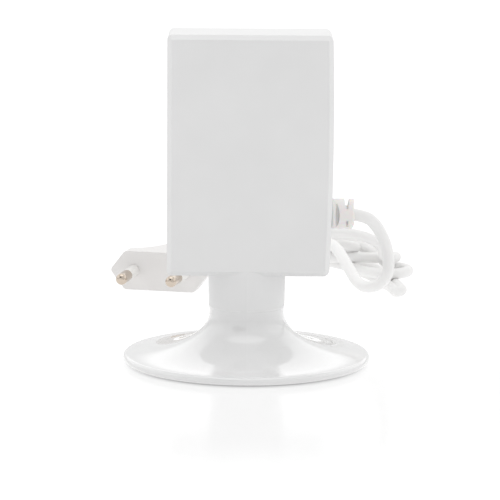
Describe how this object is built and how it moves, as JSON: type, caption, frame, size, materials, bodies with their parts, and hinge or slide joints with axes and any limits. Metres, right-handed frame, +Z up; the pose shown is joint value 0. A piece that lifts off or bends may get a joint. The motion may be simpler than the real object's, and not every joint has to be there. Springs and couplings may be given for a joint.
{
  "type": "desktop weather station",
  "caption": "Mains-powered desktop weather station: slim upright head with a narrow display, sensors and buttons, swivelling on a round trumpet pedestal, with flex and flat plug.",
  "frame": {"origin": "on the table surface, on the axis of the stem and pedestal", "axes": "+Z up; display towards -Y; the mains flex leaves towards +Y; the plain side towards +X"},
  "size_m": [0.2233, 0.1116, 0.1032],
  "materials": {
    "black_bezel": "satin",
    "button_white": "satin",
    "capacitor_can": "satin",
    "cast_iron": "rough",
    "circuit_board": "satin",
    "copper": "satin",
    "diffuser": "satin",
    "ferrite": "matte",
    "flex_white": "satin",
    "fuse_brown": "satin",
    "gloss_white": "gloss",
    "lcd": "satin",
    "nickel": "polished",
    "plug_white": "satin",
    "pom": "satin",
    "ribbon_grey": "satin",
    "rubber": "matte",
    "steel": "satin",
    "switch_black": "satin",
    "terminal_green": "satin",
    "white_abs": "satin",
    "winding_tape": "satin",
    "window": "gloss"
  },
  "bodies": {
    "head": {"antenna_clips": "switch_black", "antenna_coil": "copper", "antenna_rod": "ferrite", "backlight": "diffuser", "board_screws": "steel", "buzzer": "switch_black", "capacitors": "capacitor_can", "case_left": "white_abs", "case_right": "white_abs", "case_screws": "steel", "cord_hank": "flex_white", "cord_tail": "flex_white", "display_board": "circuit_board", "display_ribbon": "ribbon_grey", "display_screws": "steel", "display_window": "window", "front_bezel": "black_bezel", "humidity_sensor": "button_white", "lcd_glass": "lcd", "main_board": "circuit_board", "mains_cord": "flex_white", "mains_fuse": "fuse_brown", "mains_leads": "fuse_brown", "mains_terminal": "terminal_green", "microcontroller": "switch_black", "pin_sleeves": "plug_white", "plug_body": "plug_white", "plug_pins": "nickel", "plug_relief": "plug_white", "pressure_sensor": "steel", "radio_receiver": "circuit_board", "ribbon_socket_front": "button_white", "ribbon_socket_main": "button_white", "slide_switch": "steel", "stem_plug": "pom", "strain_relief": "flex_white", "swivel_screw": "steel", "swivel_washer": "steel", "tact_switches": "switch_black", "transformer_core": "ferrite", "transformer_winding": "winding_tape"},
    "pedestal": {"pedestal_shell": "gloss_white", "ballast": "cast_iron", "bottom_plate": "white_abs", "base_screws": "steel", "foot_pads": "rubber", "swivel_bush": "pom", "friction_ring": "pom"},
    "button_up": {"button_up": "button_white"},
    "button_mode": {"button_mode": "button_white"},
    "button_down": {"button_down": "button_white"},
    "switch_knob": {"switch_knob": "switch_black"}
  },
  "joints": [
    {"name": "swivel", "type": "hinge", "parent": "head", "child": "pedestal", "pos_m": [0, 0, 0.018], "axis": [0, 0, 1], "range_deg": [-90, 90]},
    {"name": "press_up", "type": "slide", "parent": "head", "child": "button_up", "axis": [0, 1, 0], "range_m": [0, 0.0006], "stiffness_N_per_m": 900, "springref_m": -0.0006},
    {"name": "press_mode", "type": "slide", "parent": "head", "child": "button_mode", "axis": [0, 1, 0], "range_m": [0, 0.0006], "stiffness_N_per_m": 900, "springref_m": -0.0006},
    {"name": "press_down", "type": "slide", "parent": "head", "child": "button_down", "axis": [0, 1, 0], "range_m": [0, 0.0006], "stiffness_N_per_m": 900, "springref_m": -0.0006},
    {"name": "unit_switch", "type": "slide", "parent": "head", "child": "switch_knob", "axis": [0, 1, 0], "range_m": [0, 0.0026]}
  ]
}
